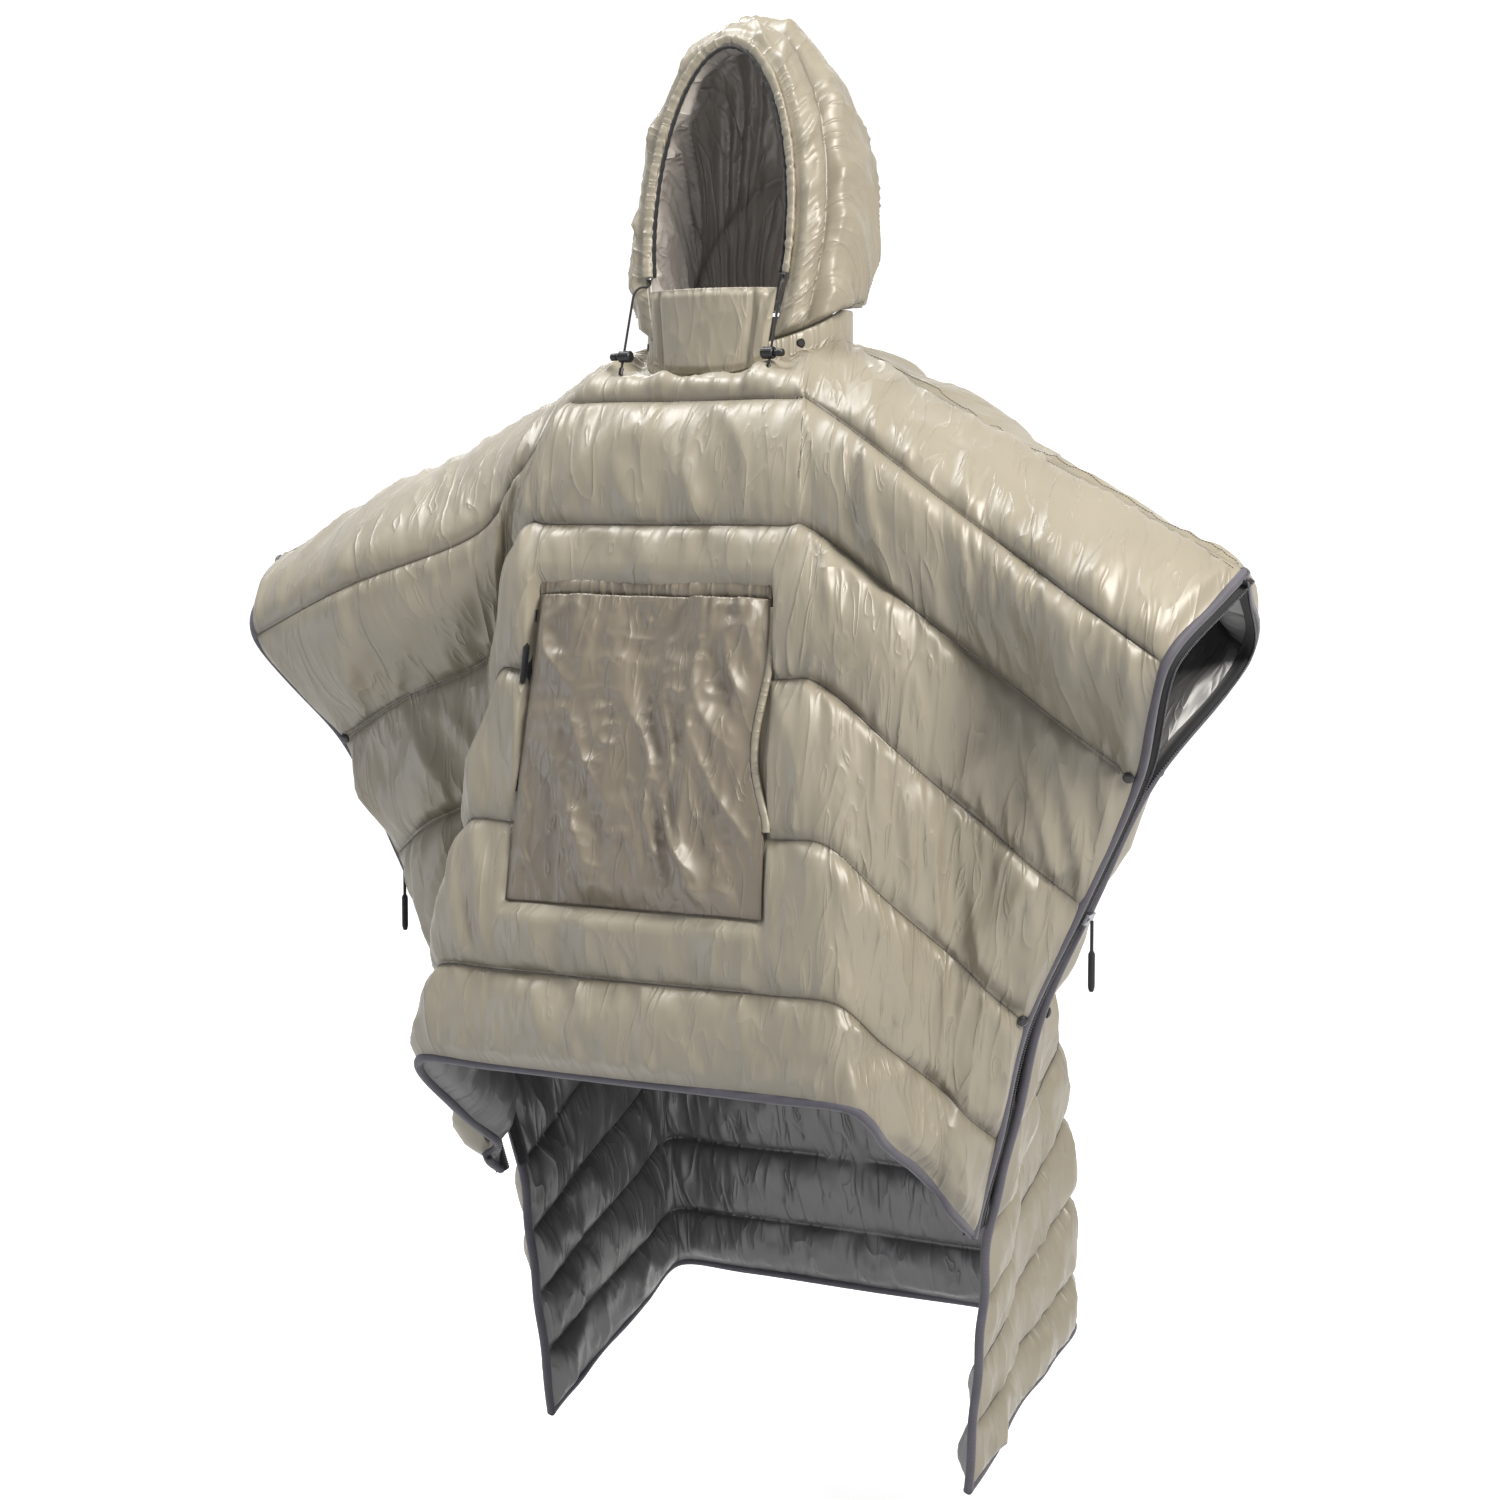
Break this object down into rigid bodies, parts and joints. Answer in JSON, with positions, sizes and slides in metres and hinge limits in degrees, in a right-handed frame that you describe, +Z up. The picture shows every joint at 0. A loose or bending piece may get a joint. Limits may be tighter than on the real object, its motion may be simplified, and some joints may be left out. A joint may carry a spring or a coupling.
{
  "type": "hooded camp quilt",
  "caption": "Hooded insulated camp quilt worn as a poncho, with snapped and zipped side edges, a front pocket and a long back, hanging as on a wearer whose arms droop.",
  "frame": {"origin": "midway between the shoulders, where the quilt rests on its wearer, level with the sides of the neck hole", "axes": "+Z up, +X towards the wearer's left sleeve, -Y to the front; the shoulder seams lie close to the X-Z plane and sweep a little forward"},
  "size_m": [1.3142, 0.6172, 1.7324],
  "materials": {
    "shell_cloth": "shiny thin woven nylon, champagne",
    "pocket_cloth": "shiny thin woven nylon, taupe",
    "lining_cloth": "smooth woven nylon, mid grey",
    "fill": "lofted polyester wadding, off-white",
    "binding_cloth": "folded woven tape, grey-violet",
    "zip": "coil zip on woven tape, near black",
    "cord": "braided polyester, black",
    "black_plastic": "moulded acetal, satin black",
    "metal": "die-cast and plated, dark nickel"
  },
  "bodies": {
    "root": {"front_shell": "shell_cloth", "front_fill": "fill", "front_lining": "lining_cloth", "back_shell": "shell_cloth", "back_fill": "fill", "back_lining": "lining_cloth", "front_hem_binding": "binding_cloth", "back_hem_binding": "binding_cloth", "front_side_binding_left": "binding_cloth", "front_side_binding_right": "binding_cloth", "back_side_binding_left": "binding_cloth", "back_side_binding_right": "binding_cloth", "front_zip_half_left": "zip", "front_zip_half_right": "zip", "back_zip_half_left": "zip", "back_zip_half_right": "zip", "neck_band": "shell_cloth", "chin_panel": "shell_cloth", "pocket_panel": "pocket_cloth", "pocket_top_welt": "pocket_cloth", "pocket_side_welt_left": "shell_cloth", "pocket_zip_tape": "zip", "upper_snap_cap_left": "black_plastic", "upper_snap_cap_right": "black_plastic", "upper_snap_stud_left": "black_plastic", "upper_snap_stud_right": "black_plastic", "lower_snap_cap_left": "black_plastic", "lower_snap_cap_right": "black_plastic", "lower_snap_stud_left": "black_plastic", "lower_snap_stud_right": "black_plastic", "neck_snap_left": "black_plastic", "neck_snap_right": "black_plastic", "drawcord_end_left": "cord", "drawcord_end_right": "cord", "cord_eyelet_left": "metal", "cord_eyelet_right": "metal", "cord_stopper_left": "cord", "cord_stopper_right": "cord"},
    "hood": {"hood_shell": "shell_cloth", "hood_fill": "fill", "hood_lining": "lining_cloth", "hood_rim_channel": "binding_cloth", "hood_drawcord": "cord"},
    "pocket_slider": {"pocket_slider": "metal"},
    "pocket_pull": {"pocket_pull": "cord"},
    "side_slider_left": {"side_slider_left": "metal"},
    "side_pull_left": {"side_pull_left": "cord"},
    "side_slider_right": {"side_slider_right": "metal"},
    "side_pull_right": {"side_pull_right": "cord"},
    "lock_left": {"cord_lock_left": "black_plastic", "lock_spring_left": "metal"},
    "button_left": {"lock_button_left": "black_plastic"},
    "lock_right": {"cord_lock_right": "black_plastic", "lock_spring_right": "metal"},
    "button_right": {"lock_button_right": "black_plastic"}
  },
  "joints": [
    {"name": "hood_tilt", "type": "hinge", "parent": "root", "child": "hood", "pos_m": [0, 0.118, -0.005], "axis": [-1, 0, 0], "range_deg": [0, 30]},
    {"name": "pocket_slide", "type": "slide", "parent": "root", "child": "pocket_slider", "axis": [-0.0433, -0.1543, -0.9871], "range_m": [0, 0.196]},
    {"name": "pocket_pull_swing", "type": "hinge", "parent": "pocket_slider", "child": "pocket_pull", "pos_m": [-0.16263, -0.22811, -0.32053], "axis": [-0.9984, 0.0433, 0.037], "range_deg": [0, 150]},
    {"name": "side_slide_left", "type": "slide", "parent": "root", "child": "side_slider_left", "axis": [-0.4552, 0.0507, -0.889], "range_m": [0, 0.12]},
    {"name": "side_pull_swing_left", "type": "hinge", "parent": "side_slider_left", "child": "side_pull_left", "pos_m": [0.47228, -0.05741, -0.65356], "axis": [0, -1, 0], "range_deg": [0, 120]},
    {"name": "side_slide_right", "type": "slide", "parent": "root", "child": "side_slider_right", "axis": [0.4546, 0.0529, -0.8891], "range_m": [0, 0.12]},
    {"name": "side_pull_swing_right", "type": "hinge", "parent": "side_slider_right", "child": "side_pull_right", "pos_m": [-0.47547, -0.0571, -0.65515], "axis": [0, 1, 0], "range_deg": [0, 120]},
    {"name": "lock_slide_left", "type": "slide", "parent": "root", "child": "lock_left", "axis": [0, 0.2957, 0.9553], "range_m": [0, 0.055]},
    {"name": "lock_press_left", "type": "slide", "parent": "lock_left", "child": "button_left", "axis": [-1, 0, 0], "range_m": [0, 0.004], "stiffness_N_per_m": 150, "springref_m": -0.002, "deforming": ["lock_spring_left"]},
    {"name": "lock_slide_right", "type": "slide", "parent": "root", "child": "lock_right", "axis": [0, 0.2957, 0.9553], "range_m": [0, 0.055]},
    {"name": "lock_press_right", "type": "slide", "parent": "lock_right", "child": "button_right", "axis": [1, 0, 0], "range_m": [0, 0.004], "stiffness_N_per_m": 150, "springref_m": -0.002, "deforming": ["lock_spring_right"]}
  ]
}
